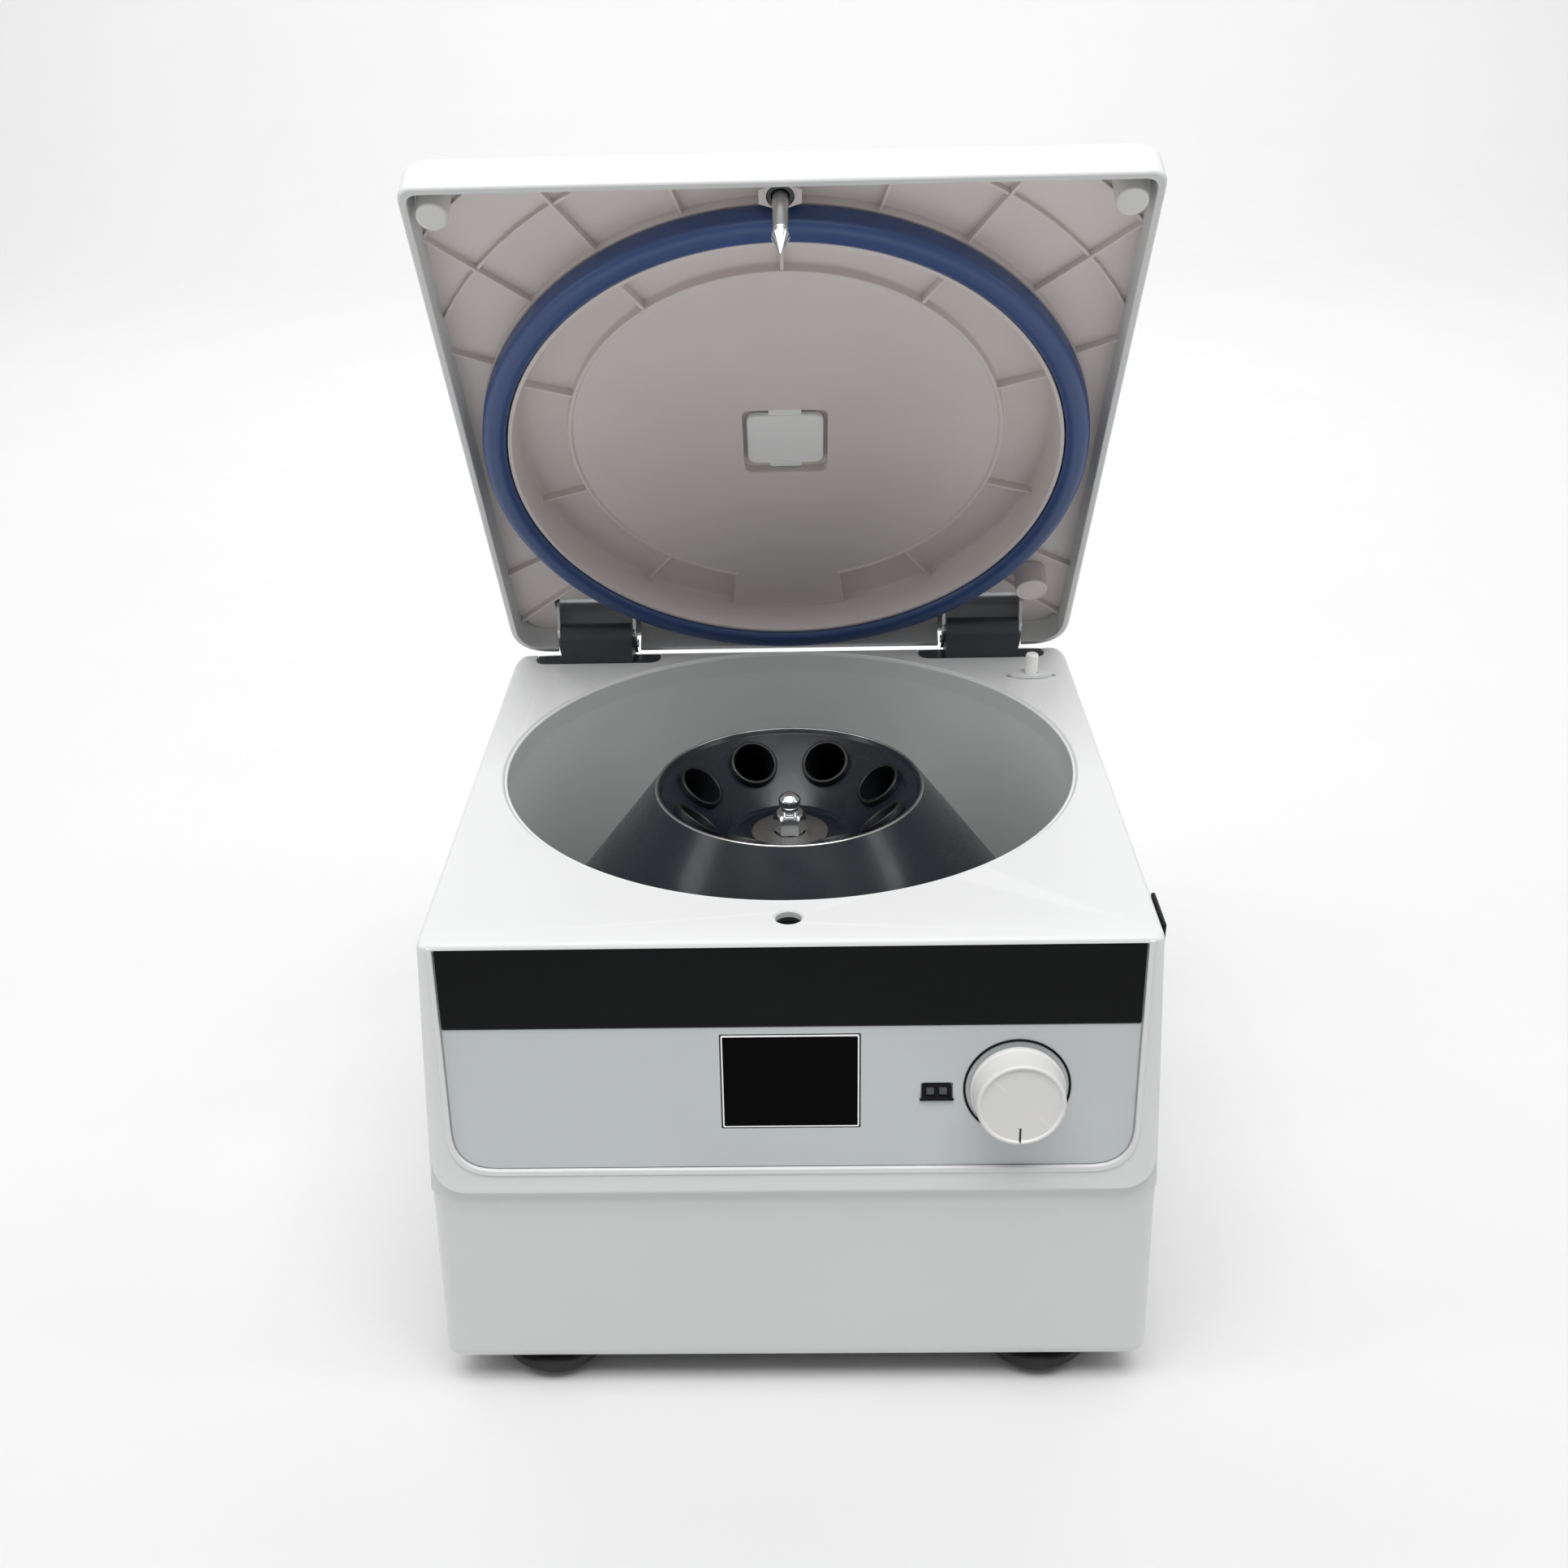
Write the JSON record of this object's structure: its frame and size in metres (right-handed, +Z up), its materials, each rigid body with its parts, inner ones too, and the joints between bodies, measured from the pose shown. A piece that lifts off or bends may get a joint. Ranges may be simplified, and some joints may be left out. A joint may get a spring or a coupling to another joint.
{
  "type": "laboratory centrifuge",
  "caption": "Bench centrifuge with a tapered white housing, open hinged lid with ring gasket and latch pin, angle rotor in a round chamber, sloping fascia with display and knob.",
  "frame": {"origin": "middle of the bounding box's bottom face, on the surface that the feet stand on", "axes": "+X to the right, -Y towards the user and the fascia, +Z up"},
  "size_m": [0.2886, 0.322, 0.4512],
  "materials": {
    "white_shell": "satin white moulded ABS",
    "grey_panel": "silver-grey satin fascia film",
    "black_gloss": "gloss black",
    "bowl_grey": "smooth grey moulding",
    "liner_grey": "warm grey moulding",
    "rotor_black": "semi-gloss blue-black",
    "hinge_slate": "slate moulded plastic",
    "gasket_blue": "satin blue silicone",
    "rubber": "matt black rubber",
    "steel": "bright plated steel",
    "knob_white": "satin white",
    "board_green": "green circuit board",
    "dark_metal": "cast grey metal"
  },
  "bodies": {
    "housing": {"main_housing": "white_shell", "base_plate": "dark_metal", "foot_front_left": "rubber", "foot_front_right": "rubber", "foot_rear_left": "rubber", "foot_rear_right": "rubber", "chamber_bowl": "bowl_grey", "shaft_seal": "rubber", "motor_plate": "dark_metal", "motor_body": "dark_metal", "motor_damper_1": "rubber", "motor_damper_2": "rubber", "motor_damper_3": "rubber", "fascia_panel": "grey_panel", "fascia_band": "black_gloss", "display_window": "black_gloss", "display_module": "dark_metal", "control_board": "board_green", "indicator_insert": "black_gloss", "knob_ring": "black_gloss", "knob_encoder": "dark_metal", "switch_frame": "black_gloss", "latch_housing": "dark_metal", "plunger_guide": "white_shell", "mains_inlet": "black_gloss", "inlet_pin_live": "steel", "inlet_pin_earth": "steel", "inlet_pin_neutral": "steel", "power_board": "board_green", "hinge_bracket_right": "hinge_slate", "hinge_bracket_left": "hinge_slate"},
    "rotor": {"rotor_body": "rotor_black", "rotor_washer": "bowl_grey", "rotor_nut": "steel", "motor_shaft": "steel", "tube_sleeve_1": "rotor_black", "tube_sleeve_2": "rotor_black", "tube_sleeve_3": "rotor_black", "tube_sleeve_4": "rotor_black", "tube_sleeve_5": "rotor_black", "tube_sleeve_6": "rotor_black", "tube_sleeve_7": "rotor_black", "tube_sleeve_8": "rotor_black"},
    "lid": {"lid_cover": "white_shell", "lid_liner": "liner_grey", "lid_gasket": "gasket_blue", "latch_pin": "steel", "latch_pin_bush": "dark_metal", "lid_port_cap": "knob_white", "lid_pad_left": "liner_grey", "lid_pad_right": "liner_grey", "lid_sensor_boss": "liner_grey", "lid_hinge_right": "steel", "lid_hinge_left": "steel", "hinge_pin_right": "steel", "hinge_pin_left": "steel"},
    "knob": {"control_knob": "knob_white"},
    "rocker": {"power_rocker": "black_gloss"},
    "latch": {"latch_hook": "steel"},
    "plunger": {"lid_sensor_plunger": "knob_white"}
  },
  "joints": [
    {"name": "lid_hinge", "type": "hinge", "parent": "housing", "child": "lid", "pos_m": [0, 0.14353, 0.2145], "axis": [-1, 0, 0], "range_deg": [-57.4, 0]},
    {"name": "rotor_spin", "type": "hinge", "parent": "housing", "child": "rotor", "pos_m": [0, 0.01653, 0.16], "axis": [0, 0, 1], "continuous": true},
    {"name": "knob_turn", "type": "hinge", "parent": "housing", "child": "knob", "pos_m": [0.0846, -0.14493, 0.14979], "axis": [0, -0.9903, 0.1392], "continuous": true},
    {"name": "power_rocker_tilt", "type": "hinge", "parent": "housing", "child": "rocker", "pos_m": [0.13474, -0.11247, 0.2], "axis": [0, 0, 1], "range_deg": [-12, 0]},
    {"name": "latch_hook_slide", "type": "slide", "parent": "housing", "child": "latch", "axis": [1, 0, 0], "range_m": [0, 0.0035], "stiffness_N_per_m": 200, "springref_m": -0.002},
    {"name": "lid_sensor_travel", "type": "slide", "parent": "housing", "child": "plunger", "axis": [0, 0, 1], "range_m": [-0.0091, 0]}
  ],
  "couplings": [
    {"joint": "lid_sensor_travel", "follows": "lid_hinge", "m_per_rad": 0.0089837}
  ]
}
